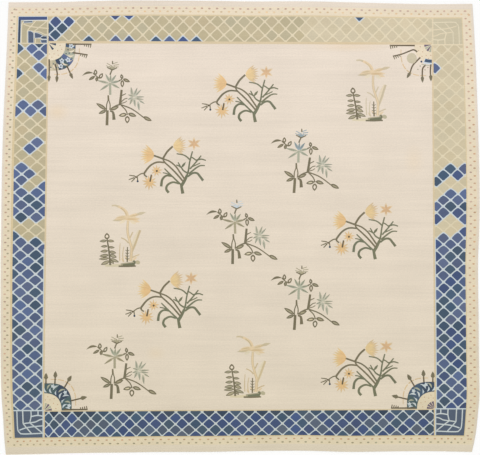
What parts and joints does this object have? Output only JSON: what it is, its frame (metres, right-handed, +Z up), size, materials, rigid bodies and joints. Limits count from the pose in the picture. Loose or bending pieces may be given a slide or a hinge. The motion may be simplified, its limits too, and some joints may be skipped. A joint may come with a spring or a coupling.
{
  "type": "flat-woven kilim rug",
  "caption": "Near-square flat-woven kilim lying flat, with flower sprays on a cream field, a blue and green trellis border, corner fans and a dotted guard band.",
  "frame": {"origin": "centre of the underside, on the floor", "axes": "+Z up out of the patterned face, +X along the width from the west selvedge to the east selvedge, +Y along the length, the way the flower sprays stand up"},
  "size_m": [4.27, 4.0476, 0.003],
  "materials": {
    "flat_weave": "matt hand-woven cotton, cream with blue, sage green, olive and peach yarns"
  },
  "bodies": {
    "root": {"kilim": "flat_weave"}
  },
  "joints": []
}
